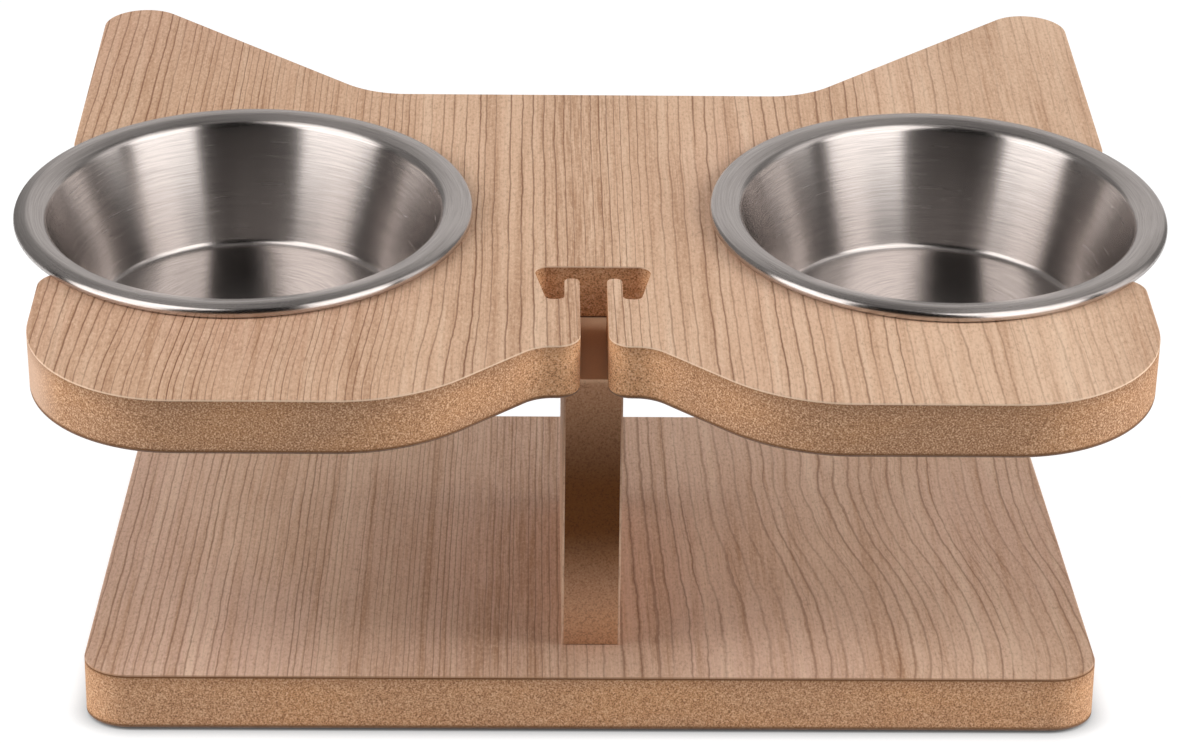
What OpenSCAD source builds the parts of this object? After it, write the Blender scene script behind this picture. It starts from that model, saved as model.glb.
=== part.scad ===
// Raised feeding stand: a flat base, an upright post and a tilted top with ears that holds two lift-out dishes.
// Millimetres. +X to the eater's right, +Y to the back, +Z up, origin on the floor below the middle of the stand.

/* [Boards] */
// Thickness of the base, the post and the top, faces included
board_t = 18; // [15:0.5:22]
// Thickness of the wood face on each side of a board
veneer_t = 0.6; // [0.4:0.1:1]

/* [Base] */
// Width of the base, side to side
base_w = 312; // [280:1:340]
// Depth of the base, front to back
base_d = 207; // [190:1:230]
// Radius of the base's corners
base_corner_r = 15; // [6:1:25]
// Diameter of an anti-slip pad
foot_d = 22; // [16:1:28]
// Height of an anti-slip pad
foot_h = 1; // [0.8:0.1:4]
// Chamfer on a pad's lower edge
foot_chamfer = 0.3; // [0.1:0.1:0.5]
// Distance from the base's edges to the middle of a pad
foot_inset = 24; // [18:1:40]

/* [Post] */
// Depth of the post, front to back
post_d = 110; // [100:1:130]
// Distance of the post behind the base's front edge
post_setback = 22; // [15:0.5:30]

/* [Top] */
// Width of the top, side to side
top_w = 339; // [325:1:360]
// Tilt of the top towards the eater, in degrees
tilt = 7; // [0:0.5:12]
// Height of the top's face above the base, at the line through the dishes
bowl_line_h = 116; // [100:1:140]
// Distance of the line through the dishes behind the base's front edge
bowl_line_y = 95; // [85:1:105]
// Reach of the cheeks in front of the line through the dishes
cheek_reach = 121.5; // [110:0.5:135]
// Radius of a cheek's front corner
cheek_r = 47; // [20:1:50]
// Reach of the back edge behind the line through the dishes
back_reach = 91.2; // [85:0.1:105]
// Reach of the ear tips behind the line through the dishes
ear_reach = 161.5; // [145:0.5:180]
// Radius of an ear's tip
ear_tip_r = 14; // [8:0.5:20]
// Slope of an ear's inner edge, in degrees
ear_slope = 42.5; // [38:0.5:50]
// Radius where an ear meets the back edge
ear_valley_r = 30; // [10:1:40]

/* [Chin and nose] */
// Reach of the chin in front of the line through the dishes
chin_reach = 87.6; // [80:0.1:95]
// Width of the chin recess at the cheeks' front edge
chin_w = 109; // [95:1:125]
// Slope of the chin recess's sides, in degrees
chin_slope = 42.3; // [38:0.1:48]
// Radius where the chin recess meets a cheek
chin_outer_r = 55; // [20:1:60]
// Radius at the inner end of the chin recess
chin_inner_r = 13; // [5:0.5:14]
// Radius at the mouth of the slot
slot_lip_r = 7; // [3:0.5:7.5]
// Width of the slot
slot_w = 8.5; // [7:0.1:11]
// Distance of the nose's back edge in front of the line through the dishes
nose_reach = 36; // [32:0.5:40]
// Width of the nose at its back edge
nose_w = 37.4; // [32:0.1:40]
// Depth of the nose's cross bar
nose_bar = 8.2; // [6:0.1:10]
// Depth of the nose, back edge to the ends of its hooks
nose_d = 21.7; // [18:0.1:26]
// Width of a hook at its end
hook_w = 5.6; // [4.5:0.1:7]
// Width of the prong between the slot and a hook
prong_w = 4.6; // [4:0.1:6]
// Radius of the nose's corners
nose_r = 4; // [0.5:0.1:5]
// Radius of a hook's end corners
hook_r = 2.3; // [0.5:0.1:2.6]
// Radius of a prong's tip corners
prong_r = 1.9; // [0.5:0.1:2.2]

/* [Dishes] */
// Distance between the dishes' middles
bowl_spacing = 220; // [205:1:225]
// Diameter over a dish's rim
rim_d = 145; // [138:1:152]
// Height of a rim's crest above the top's face
rim_h = 3.7; // [3.4:0.1:6]
// Fall of a rim from its crest to its inner lip
lip_fall = 1.5; // [0.5:0.1:2]
// Fall of a rim from its crest to its outer edge
rim_fall = 0.8; // [0:0.1:1]
// Distance of a rim's crest from its outer edge
crest_inset = 4.5; // [3.5:0.1:6]
// Radius over a rim's crest
crest_r = 6; // [2:0.5:8]
// Width of the rim, from the wall to its outer edge
rim_w = 9.8; // [8:0.1:13]
// Diameter where the wall meets the floor
floor_d = 101; // [85:1:110]
// Depth of a dish, from its rim's crest to its floor
bowl_depth = 40.4; // [30:0.1:48]
// Thickness of the steel sheet
sheet_t = 0.8; // [0.5:0.1:1]
// Radius between the wall and the floor
bowl_floor_r = 2.5; // [2:0.5:8]
// Radius between the wall and the rim
bowl_lip_r = 3.2; // [1.5:0.1:4]
// Radius of the rim's outer edge
rim_edge_r = 1.7; // [1.2:0.1:1.8]
// Radius where the rim's skirt turns under
hem_r = 0.9; // [0.9:0.1:1.1]
// Width of the flange turned under the rim
hem_w = 3; // [2.2:0.1:4]
// Gap between a dish's wall and its cut-out
bowl_gap = 0.6; // [0.4:0.1:1.5]
// Gap between a rim's hem and the top's face
seat_gap = 0.2; // [0.1:0.1:0.5]
// Radius of the horns where a cut-out opens through the top's side
horn_r = 8.5; // [5:0.5:14]

/* [Fixings] */
// Gap around a dowel, a screw, a cam and a bolt in their holes
fixing_gap = 0.1; // [0.1:0.05:0.2]
// Diameter of a dowel
dowel_d = 8; // [6:1:10]
// Length of a dowel in the base or in the top
dowel_board_l = 11; // [8:0.5:12]
// Length of a dowel in the post
dowel_post_l = 19; // [14:0.5:24]
// Room left at each end of a dowel and a bolt
end_room = 0.5; // [0.3:0.1:0.8]
// Distance of the base's dowels from the post's ends
dowel_inset = 14; // [10:1:18]
// Shank diameter of a base screw
screw_d = 5; // [4:0.5:6]
// Length of a base screw
screw_l = 50; // [40:1:60]
// Head diameter of a base screw
screw_head_d = 10; // [8:0.5:11]
// Width of the square socket in a screw's head
screw_socket = 2.8; // [2:0.1:3]
// Depth of the square socket in a screw's head
screw_socket_depth = 2; // [1.2:0.1:2.4]
// Distance of the base's screws from the post's ends
screw_inset = 36; // [30:1:44]
// Diameter of a cam lock
cam_d = 15; // [12:0.5:16]
// Length of a cam lock
cam_l = 12; // [10:0.5:12.5]
// Depth of a cam lock's face below the post's side
cam_recess = 0.6; // [0.5:0.1:1]
// Distance of the cam locks below the top's underside
cam_drop = 24; // [20:0.5:34]
// Width of the slot in a cam lock's face
cam_slot_w = 1.6; // [1:0.1:2]
// Depth of the slot in a cam lock's face
cam_slot_depth = 2; // [1:0.1:2.5]
// Thread diameter of a cam bolt
bolt_thread_d = 6; // [5:0.5:7]
// Length of a cam bolt's thread
bolt_thread_l = 11; // [9:0.5:12]
// Shank diameter of a cam bolt
bolt_shank_d = 5; // [4:0.5:6]
// Head diameter of a cam bolt
bolt_head_d = 7; // [6:0.5:8]
// Height of a cam bolt's head
bolt_head_h = 3; // [2:0.5:4]
// Diameter of the cap over a cam lock
cap_d = 17; // [16.5:0.5:20]
// Height of the cap over a cam lock
cap_h = 1.2; // [0.8:0.1:2]

/* [Hidden] */
$fn = 96;
// Overlap of a cutter past the face it cuts
over = 1;
// Overlap of a corner's patch past the edges it joins
bite = 0.3;
// Growth of a rounding arc, so that it crosses the edges that it joins
arc_over = 0.005;
core_t = board_t - 2 * veneer_t;
base_z = foot_h + board_t;

// Places front to back, first from the base's front edge and then from the origin
stand_front = min(0, bowl_line_y - cheek_reach * cos(tilt));
stand_back = max(base_d, bowl_line_y + ear_reach * cos(tilt) + board_t * sin(tilt));
base_front = -(stand_front + stand_back) / 2;
post_front = base_front + post_setback;
post_back = post_front + post_d;
bowl_line = [0, base_front + bowl_line_y, base_z + bowl_line_h];

// Fixings between the base and the post
base_dowel_ys = [post_front + dowel_inset, post_back - dowel_inset];
base_screw_ys = [post_front + screw_inset, post_back - screw_inset];
screw_head_h = (screw_head_d - screw_d) / 2;

// Fixings between the post and the top share the joint behind the nose evenly, in the top's own frame
joint_front = -nose_reach;
joint_back = (post_back - bowl_line.y - board_t * sin(tilt)) / cos(tilt);
joint_pitch = (joint_back - joint_front) / 4;
cam_ys = [joint_front + joint_pitch / 2, joint_front + 5 * joint_pitch / 2];
top_dowel_ys = [for (y = cam_ys) y + joint_pitch];

// A dish in section, from the middle of its floor out to the end of its hem: radius, height, bend radius
rim_r = rim_d / 2;
mouth_d = rim_d - 2 * rim_w;
floor_z = rim_h - bowl_depth;
lip_z = rim_h - lip_fall;
bowl_path = [
    [0, floor_z, 0],
    [floor_d / 2, floor_z, bowl_floor_r],
    [mouth_d / 2, lip_z, bowl_lip_r],
    [rim_r - crest_inset, rim_h, crest_r],
    [rim_r, rim_h - rim_fall, rim_edge_r],
    [rim_r, seat_gap, hem_r],
    [rim_r - hem_w, seat_gap, 0]
];
wall_lean = atan((mouth_d - floor_d) / 2 / (lip_z - floor_z));
cutout_r = mouth_d / 2 - lip_z * tan(wall_lean) + sheet_t / cos(wall_lean) + bowl_gap;

// Right half of the top's outline, from the nose round to the back edge: across, back, corner radius
ear_peak = ear_reach + ear_tip_r * (cos(ear_slope) - 1 + (1 + sin(ear_slope)) * tan(ear_slope));
ear_valley_x = top_w / 2 - (ear_peak - back_reach) / tan(ear_slope);
chin_x = chin_w / 2 - (cheek_reach - chin_reach) / tan(chin_slope);
hook_x = slot_w / 2 + prong_w;
half_top = [
    [nose_w / 2, -nose_reach, nose_r],
    [hook_x + hook_w, -nose_reach - nose_d, hook_r],
    [hook_x, -nose_reach - nose_d, hook_r],
    [hook_x, -nose_reach - nose_bar, prong_r],
    [slot_w / 2, -nose_reach - nose_bar, prong_r],
    [slot_w / 2, -chin_reach, slot_lip_r],
    [chin_x, -chin_reach, chin_inner_r],
    [chin_w / 2, -cheek_reach, chin_outer_r],
    [top_w / 2, -cheek_reach, cheek_r],
    [top_w / 2, ear_peak, ear_tip_r],
    [ear_valley_x, back_reach, ear_valley_r]
];
half_count = len(half_top);
top_points = concat(half_top, [for (i = [1:half_count]) mirrored(half_top[half_count - i])]);

function mirrored(p) = [-p.x, p.y, p.z];
function flat(p) = [p.x, p.y];
function unit(v) = v / norm(v);
function right_of(v) = [v.y, -v.x];
function next(points, i) = points[(i + 1) % len(points)];
function last(points, i) = points[(i + len(points) - 1) % len(points)];

// Height of the top's underside over a place front to back
function underside_z(y) = bowl_line.z + (y - bowl_line.y) * tan(tilt) - board_t / cos(tilt);

// How far the boundary turns left at a corner; a closed boundary runs with its material on the left
function turn(before, at, after) = cross(flat(at - before), flat(after - at));

// The point below a bend of a sheet's upper side, with the bend's radius on the lower side
function lower_side(path, i, t) =
    let (
        start = max(i - 1, 0),
        end = min(i + 1, len(path) - 1),
        down_in = right_of(unit(flat(path[max(i, 1)] - path[start]))),
        down_out = right_of(unit(flat(path[end] - path[min(i, len(path) - 2)]))),
        shift = (down_in + down_out) * t / (1 + down_in * down_out),
        bend = path[i].z == 0 ? 0 : path[i].z + t * sign(cross(down_in, down_out))
    )
    [path[i].x + shift.x, path[i].y + shift.y, bend];

// Closed section of a bent sheet of thickness t below the path of its upper side
function sheet_section(path, t) = concat(
    [for (i = [0:len(path) - 1]) lower_side(path, i, t)],
    [for (i = [1:len(path)]) path[len(path) - i]]
);

// The patch between a sharp corner and the arc that rounds it
module corner_patch(before, at, after) {
    corner = flat(at);
    back = unit(flat(before) - corner);
    ahead = unit(flat(after) - corner);
    half_angle = acos(back * ahead) / 2;
    reach = at.z / tan(half_angle);
    inward = unit(back + ahead);
    middle = corner + inward * at.z / sin(half_angle);
    difference() {
        polygon([corner - inward * bite, corner + back * reach, middle, corner + ahead * reach]);
        translate(middle)
            circle(at.z + arc_over);
    }
}

// A flat shape whose points give their corner radius as a third number
module rounded_outline(points) {
    corners = [for (i = [0:len(points) - 1]) if (points[i].z > 0) i];
    difference() {
        union() {
            polygon([for (p = points) flat(p)]);
            for (i = corners)
                if (turn(last(points, i), points[i], next(points, i)) < 0)
                    corner_patch(last(points, i), points[i], next(points, i));
        }
        for (i = corners)
            if (turn(last(points, i), points[i], next(points, i)) > 0)
                corner_patch(last(points, i), points[i], next(points, i));
    }
}

// Places its children in the top's frame: middle of the line through the dishes, on the top's face
module on_top() {
    translate(bowl_line)
        rotate([tilt, 0, 0])
            children();
}

module base_layer(z, t) {
    translate([0, base_front, z])
        linear_extrude(t)
            rounded_outline([
                [-base_w / 2, 0, base_corner_r],
                [base_w / 2, 0, base_corner_r],
                [base_w / 2, base_d, base_corner_r],
                [-base_w / 2, base_d, base_corner_r]
            ]);
}

// One cut-out through the top's right side, with rounded horns
module bowl_cutout() {
    side = top_w / 2 - bowl_spacing / 2;
    horn_y = sqrt(pow(cutout_r + horn_r, 2) - pow(side - horn_r, 2));
    translate([bowl_spacing / 2, 0]) {
        circle(cutout_r);
        difference() {
            polygon([
                [0, 0],
                [side - horn_r, -horn_y],
                [side + over, -horn_y],
                [side + over, horn_y],
                [side - horn_r, horn_y]
            ]);
            for (end = [-1, 1])
                translate([side - horn_r, end * horn_y])
                    circle(horn_r + arc_over);
        }
    }
}

module top_layer(z, t) {
    translate([0, 0, z])
        linear_extrude(t)
            difference() {
                rounded_outline(top_points);
                bowl_cutout();
                mirror([1, 0])
                    bowl_cutout();
            }
}

// A slice of the post from one place across to another
module post_slice(x, t) {
    translate([x, 0, 0])
        rotate([90, 0, 90])
            linear_extrude(t)
                polygon([
                    [post_front, base_z],
                    [post_back, base_z],
                    [post_back, underside_z(post_back)],
                    [post_front, underside_z(post_front)]
                ]);
}

// Dowels between the base and the post, grown by a gap round them and by room at their ends
module base_dowel_set(gap, room) {
    for (y = base_dowel_ys)
        translate([0, y, base_z - dowel_board_l - room])
            cylinder(d = dowel_d + 2 * gap, h = dowel_board_l + dowel_post_l + 2 * room);
}

// Dowels between the post and the top, grown in the same way
module top_dowel_set(gap, room) {
    on_top()
        for (y = top_dowel_ys)
            translate([0, y, -board_t - dowel_post_l - room])
                cylinder(d = dowel_d + 2 * gap, h = dowel_board_l + dowel_post_l + 2 * room);
}

// Screws with their heads in the base's underside, grown in the same way
module base_screw_set(gap, room) {
    for (y = base_screw_ys)
        translate([0, y, foot_h]) {
            cylinder(d1 = screw_head_d + 2 * gap, d2 = screw_d + 2 * gap, h = screw_head_h);
            cylinder(d = screw_d + 2 * gap, h = screw_l + room);
        }
}

// Bolts that hang from the top into the cam locks, grown in the same way
module cam_bolt_set(gap, room) {
    on_top()
        for (y = cam_ys)
            translate([0, y, -board_t]) {
                cylinder(d = bolt_thread_d + 2 * gap, h = bolt_thread_l + room);
                translate([0, 0, -cam_drop])
                    cylinder(d = bolt_shank_d + 2 * gap, h = cam_drop);
                translate([0, 0, -cam_drop - bolt_head_h / 2 - room])
                    cylinder(d = bolt_head_d + 2 * gap, h = bolt_head_h + 2 * room);
            }
}

// The way by which a bolt's head enters the post and its cam lock
module cam_bolt_way() {
    on_top()
        for (y = cam_ys)
            translate([0, y, -board_t - cam_drop - bolt_head_h / 2 - end_room])
                cylinder(d = bolt_head_d + 2 * fixing_gap, h = cam_drop + bolt_head_h / 2 + end_room);
}

// Pockets for the cam locks, bored from the post's right side
module cam_pockets() {
    on_top()
        for (y = cam_ys)
            translate([board_t / 2 - cam_recess - cam_l, y, -board_t - cam_drop])
                rotate([0, 90, 0])
                    cylinder(d = cam_d, h = cam_recess + cam_l + over);
}

// One dish in the top's frame, lifted out along +Z there
module bowl(side) {
    on_top()
        translate([side * bowl_spacing / 2, 0, 0])
            rotate_extrude()
                rounded_outline(sheet_section(bowl_path, sheet_t));
}

// One pad under a corner of the base
module foot(side, end) {
    translate([
        side * (base_w / 2 - foot_inset),
        base_front + base_d / 2 + end * (base_d / 2 - foot_inset),
        0
    ]) {
        cylinder(d1 = foot_d - 2 * foot_chamfer, d2 = foot_d, h = foot_chamfer);
        translate([0, 0, foot_chamfer])
            cylinder(d = foot_d, h = foot_h - foot_chamfer);
    }
}

module base_core() {
    color("#ac7f57")
        difference() {
            base_layer(foot_h + veneer_t, core_t);
            base_screw_set(fixing_gap, end_room);
            base_dowel_set(fixing_gap, end_room);
        }
}

module base_face_veneer() {
    color("#ceac8a")
        difference() {
            base_layer(base_z - veneer_t, veneer_t);
            base_screw_set(fixing_gap, end_room);
            base_dowel_set(fixing_gap, end_room);
        }
}

module base_underside_veneer() {
    color("#ceac8a")
        difference() {
            base_layer(foot_h, veneer_t);
            base_screw_set(fixing_gap, end_room);
        }
}

module post_core() {
    color("#8d6442")
        difference() {
            post_slice(-core_t / 2, core_t);
            base_screw_set(fixing_gap, end_room);
            base_dowel_set(fixing_gap, end_room);
            top_dowel_set(fixing_gap, end_room);
            cam_bolt_way();
            cam_pockets();
        }
}

module post_left_veneer() {
    color("#ceac8a")
        post_slice(-board_t / 2, veneer_t);
}

module post_right_veneer() {
    color("#ceac8a")
        difference() {
            post_slice(core_t / 2, veneer_t);
            cam_pockets();
        }
}

module top_core() {
    color("#ac7f57")
        difference() {
            on_top()
                top_layer(veneer_t - board_t, core_t);
            top_dowel_set(fixing_gap, end_room);
            cam_bolt_set(fixing_gap, end_room);
        }
}

module top_face_veneer() {
    color("#ceac8a")
        on_top()
            top_layer(-veneer_t, veneer_t);
}

module top_underside_veneer() {
    color("#ceac8a")
        difference() {
            on_top()
                top_layer(-board_t, veneer_t);
            top_dowel_set(fixing_gap, end_room);
            cam_bolt_set(fixing_gap, end_room);
        }
}

module left_bowl() {
    color("silver")
        bowl(-1);
}

module right_bowl() {
    color("silver")
        bowl(1);
}

module front_left_foot() {
    color("dimgray")
        foot(-1, -1);
}

module front_right_foot() {
    color("dimgray")
        foot(1, -1);
}

module rear_left_foot() {
    color("dimgray")
        foot(-1, 1);
}

module rear_right_foot() {
    color("dimgray")
        foot(1, 1);
}

module base_screws() {
    color("slategray")
        difference() {
            base_screw_set(0, 0);
            for (y = base_screw_ys)
                translate([-screw_socket / 2, y - screw_socket / 2, foot_h - over])
                    cube([screw_socket, screw_socket, screw_socket_depth + over]);
        }
}

module base_dowels() {
    color("burlywood")
        base_dowel_set(0, 0);
}

module top_dowels() {
    color("burlywood")
        top_dowel_set(0, 0);
}

module cam_bolts() {
    color("slategray")
        cam_bolt_set(0, 0);
}

module cam_locks() {
    face_x = board_t / 2 - cam_recess;
    color("lightslategray")
        difference() {
            on_top()
                for (y = cam_ys)
                    translate([face_x - cam_l, y, -board_t - cam_drop])
                        rotate([0, 90, 0])
                            cylinder(d = cam_d - 2 * fixing_gap, h = cam_l);
            cam_bolt_way();
            on_top()
                for (y = cam_ys)
                    translate([face_x - cam_slot_depth, y - cam_d / 2, -board_t - cam_drop - cam_slot_w / 2])
                        cube([cam_slot_depth + over, cam_d, cam_slot_w]);
        }
}

module cam_caps() {
    color("tan")
        on_top()
            for (y = cam_ys)
                translate([board_t / 2, y, -board_t - cam_drop])
                    rotate([0, 90, 0]) {
                        cylinder(d = cap_d, h = cap_h);
                        translate([0, 0, -cam_recess])
                            cylinder(d = cam_d - 2 * fixing_gap, h = cam_recess);
                    }
}

base_core();
base_face_veneer();
base_underside_veneer();
post_core();
post_left_veneer();
post_right_veneer();
top_core();
top_face_veneer();
top_underside_veneer();
left_bowl();
right_bowl();
front_left_foot();
front_right_foot();
rear_left_foot();
rear_right_foot();
base_screws();
base_dowels();
top_dowels();
cam_bolts();
cam_locks();
cam_caps();
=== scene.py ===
"""Raised feeding stand: wood-faced fibreboard boards and two steel dishes that lift out.

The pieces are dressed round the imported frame. Sizes are in millimetres, as in the part's source,
and become metres where a mesh is made.
"""

import logging
import math
from dataclasses import dataclass
from enum import Enum
from functools import lru_cache
from typing import Callable, Optional, Sequence, Union

import bmesh
import bpy
from mathutils import Matrix, Vector


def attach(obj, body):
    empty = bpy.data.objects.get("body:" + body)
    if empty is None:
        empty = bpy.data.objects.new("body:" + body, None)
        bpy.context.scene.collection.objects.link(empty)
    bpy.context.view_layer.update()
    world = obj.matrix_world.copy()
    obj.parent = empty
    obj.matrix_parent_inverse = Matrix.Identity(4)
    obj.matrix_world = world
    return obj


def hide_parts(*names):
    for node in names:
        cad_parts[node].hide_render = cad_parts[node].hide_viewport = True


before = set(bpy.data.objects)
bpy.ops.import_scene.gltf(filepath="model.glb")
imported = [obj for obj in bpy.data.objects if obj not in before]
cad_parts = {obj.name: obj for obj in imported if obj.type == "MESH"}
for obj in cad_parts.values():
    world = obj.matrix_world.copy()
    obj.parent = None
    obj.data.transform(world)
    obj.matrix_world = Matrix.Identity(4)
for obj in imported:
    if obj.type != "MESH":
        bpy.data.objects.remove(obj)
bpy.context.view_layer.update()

LOG = logging.getLogger("feeding_stand")
MM = 0.001

# Sizes that several pieces share
BOARD = 18.0
FACE = 0.6
PAD_HEIGHT = 1.0
BASE_TOP = PAD_HEIGHT + BOARD
TILT = math.radians(7.0)
DISH_LINE = Vector((0.0, -20.948, 135.0))
TOP_FRAME = Matrix.Translation(DISH_LINE * MM) @ Matrix.Rotation(TILT, 4, "X")
LEVEL_FRAME = Matrix.Identity(4)
STAND = "stand"
SMALL_SPIN = 64

Colour = tuple[float, float, float]
Number = Union["Wire", float]


class Slot(Enum):
    """Material slots of the record."""

    WOOD_FACE = "wood_face"
    FIBREBOARD = "fibreboard"
    STEEL = "steel"
    PAD = "pad"
    ZINC = "zinc"
    DOWEL = "dowel_wood"
    CAP = "cap_plastic"


class Side(Enum):
    """Left or right half of the stand, as seen from the front."""

    LEFT = -1
    RIGHT = 1


def linear(colour: Colour) -> tuple[float, float, float, float]:
    """Turn a colour as a picture shows it, 0 to 255, into the shader's own scale, with full alpha."""
    parts = [part / 255 for part in colour]
    red, green, blue = [p / 12.92 if p <= 0.04045 else ((p + 0.055) / 1.055) ** 2.4 for p in parts]
    return red, green, blue, 1.0


def sum_of(operation: str, swapped: bool = False) -> Callable[["Wire", Number], "Wire"]:
    """Make the method that joins a wire and a term by a Math node, the term first where swapped."""

    def joined(wire: "Wire", term: Number) -> "Wire":
        """Join a wire and a term."""
        terms = (term, wire) if swapped else (wire, term)
        return wire.shader.maths(operation, *terms)

    return joined


class Wire:
    """One output of a shader node, so that shader maths reads as sums."""

    def __init__(self, shader: "Shader", socket: bpy.types.NodeSocket) -> None:
        """Keep the socket and the shader that it belongs to."""
        self.shader = shader
        self.socket = socket

    def other(self, output: Union[str, int]) -> "Wire":
        """Give another output of the same node."""
        return Wire(self.shader, self.socket.node.outputs[output])

    __add__ = sum_of("ADD")
    __radd__ = sum_of("ADD", swapped=True)
    __sub__ = sum_of("SUBTRACT")
    __rsub__ = sum_of("SUBTRACT", swapped=True)
    __mul__ = sum_of("MULTIPLY")
    __truediv__ = sum_of("DIVIDE")
    __gt__ = sum_of("GREATER_THAN")


class Shader:
    """The nodes of one material, world or floor, all made through one method."""

    def __init__(self, tree: bpy.types.NodeTree) -> None:
        """Start with an empty tree."""
        self.tree = tree
        self.tree.nodes.clear()

    def make(
        self,
        kind: str,
        settings: Optional[dict[str, object]] = None,
        sockets: Optional[dict[Union[str, int], object]] = None,
        output: Union[str, int] = 0,
    ) -> Optional[Wire]:
        """Add a node.

        Args:
            kind: The node's type.
            settings: Its settings, which are set first.
            sockets: Values or wires for its inputs, by name or number.
            output: The output to give back.

        Returns:
            The wire from that output, or None for a node without outputs.
        """
        node = self.tree.nodes.new(kind)
        for name, value in (settings or {}).items():
            setattr(node, name, value)
        for name, value in (sockets or {}).items():
            if isinstance(value, Wire):
                self.tree.links.new(value.socket, node.inputs[name])
            else:
                node.inputs[name].default_value = value
        return Wire(self, node.outputs[output]) if len(node.outputs) else None

    def maths(self, operation: str, *terms: Number) -> Wire:
        """Add a Math node on the given terms."""
        return self.make("ShaderNodeMath", {"operation": operation}, dict(enumerate(terms)))

    def place(self, turn: Sequence[float] = (0, 0, 0), shift: Sequence[float] = (0, 0, 0)) -> Wire:
        """Give the place on the piece, turned about X, Y and Z and then shifted, in metres."""
        where = self.make("ShaderNodeTexCoord", output="Object")
        sockets = {"Vector": where, "Rotation": turn, "Location": shift}
        return self.make("ShaderNodeMapping", {"vector_type": "POINT"}, sockets)

    def board_place(self, tilt: float, level: float = 0.0) -> Wire:
        """Give the place on the tilted top, or on a level board above a level in millimetres."""
        shift = TOP_FRAME.inverted().translation if tilt else Vector((0, 0, -level * MM))
        return self.place(turn=(-tilt, 0, 0), shift=shift)

    def parts(self, vector: Wire) -> tuple[Wire, Wire, Wire]:
        """Split a vector into its three numbers."""
        first = self.make("ShaderNodeSeparateXYZ", None, {0: vector})
        return first, first.other(1), first.other(2)

    def joined(self, x: Number, y: Number, z: Number) -> Wire:
        """Join three numbers into a vector."""
        return self.make("ShaderNodeCombineXYZ", None, {0: x, 1: y, 2: z})

    def noise(self, vector: Wire, stretch: Sequence[float], detail: float = 2.0, rough: float = 0.5) -> Wire:
        """Add noise whose grain may be longer one way than another.

        Args:
            vector: Where it is read, in metres.
            stretch: Waves to the metre along each axis.
            detail: Levels of finer noise.
            rough: Weight of the finer levels.

        Returns:
            A wire from 0 to 1, mostly near 0.5.
        """
        scaled = self.make("ShaderNodeVectorMath", {"operation": "MULTIPLY"}, {0: vector, 1: tuple(stretch)})
        sockets = {"Vector": scaled, "Scale": 1.0, "Detail": detail, "Roughness": rough}
        return self.make("ShaderNodeTexNoise", {"noise_dimensions": "3D"}, sockets)

    def rise(self, value: Wire, low: float, high: float) -> Wire:
        """Ease from 0 at low to 1 at high; with low over high it falls."""
        sockets = {"Value": value, "From Min": low, "From Max": high}
        return self.make("ShaderNodeMapRange", {"interpolation_type": "SMOOTHSTEP"}, sockets)

    def mix(self, share: Number, first: object, second: object, way: str = "MIX") -> Wire:
        """Mix a share of a second colour into a first, in the way that the Mix node names."""
        settings = {"data_type": "RGBA", "blend_type": way, "clamp_factor": True}
        return self.make("ShaderNodeMix", settings, {0: share, 6: first, 7: second}, 2)

    def bump(self, height: Wire, depth: float, strength: float = 1.0) -> Wire:
        """Turn a height into a normal; a height of 1 stands for the depth, in metres."""
        return self.make("ShaderNodeBump", None, {"Height": height, "Distance": depth, "Strength": strength})

    def layered(self, ground: Colour, layers: Sequence[tuple[Number, Colour]]) -> Wire:
        """Lay a share of each colour over a ground, all as a picture shows them."""
        colour = linear(ground)
        for share, over in layers:
            colour = self.mix(share, colour, linear(over))
        return colour

    def principled(self, sockets: dict[str, object]) -> Wire:
        """Add a Principled surface."""
        return self.make("ShaderNodeBsdfPrincipled", None, sockets)

    def seen(self) -> Wire:
        """Give 1 for rays that show the background: from the camera, a gloss or through glass."""
        rays = self.make("ShaderNodeLightPath", output="Is Camera Ray")
        gloss = self.maths("MAXIMUM", rays, rays.other("Is Glossy Ray"))
        return self.maths("MAXIMUM", gloss, rays.other("Is Transmission Ray"))

    def surface(self, wire: Wire) -> None:
        """Send a shader to the output."""
        kind = "ShaderNodeOutputWorld" if self.tree.id_data.id_type == "WORLD" else "ShaderNodeOutputMaterial"
        self.make(kind, None, {"Surface": wire})


def new_material(name: str) -> tuple[bpy.types.Material, Shader]:
    """Make a material and the empty shader that it is painted with."""
    material = bpy.data.materials.new(name)
    material.use_nodes = True
    return material, Shader(material.node_tree)


class Finish:
    """A finish, which makes its material once and dresses pieces with it."""

    name: str
    slot: Slot

    def paint(self, shader: Shader) -> Wire:
        """Make the finish's nodes in an empty shader and give its surface."""
        raise NotImplementedError

    @lru_cache(maxsize=None)
    def material(self) -> bpy.types.Material:
        """Make the material, or give the one already made."""
        material, shader = new_material(self.name)
        shader.surface(self.paint(shader))
        return material

    def dress(self, piece: bpy.types.Object) -> None:
        """Give a new piece this finish."""
        piece.data.materials.clear()
        piece.data.materials.append(self.material())

    def dress_node(self, node: str) -> None:
        """Give a node of the frame this finish, in its material slots."""
        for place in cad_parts[node].material_slots:
            place.material = self.material()


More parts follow.
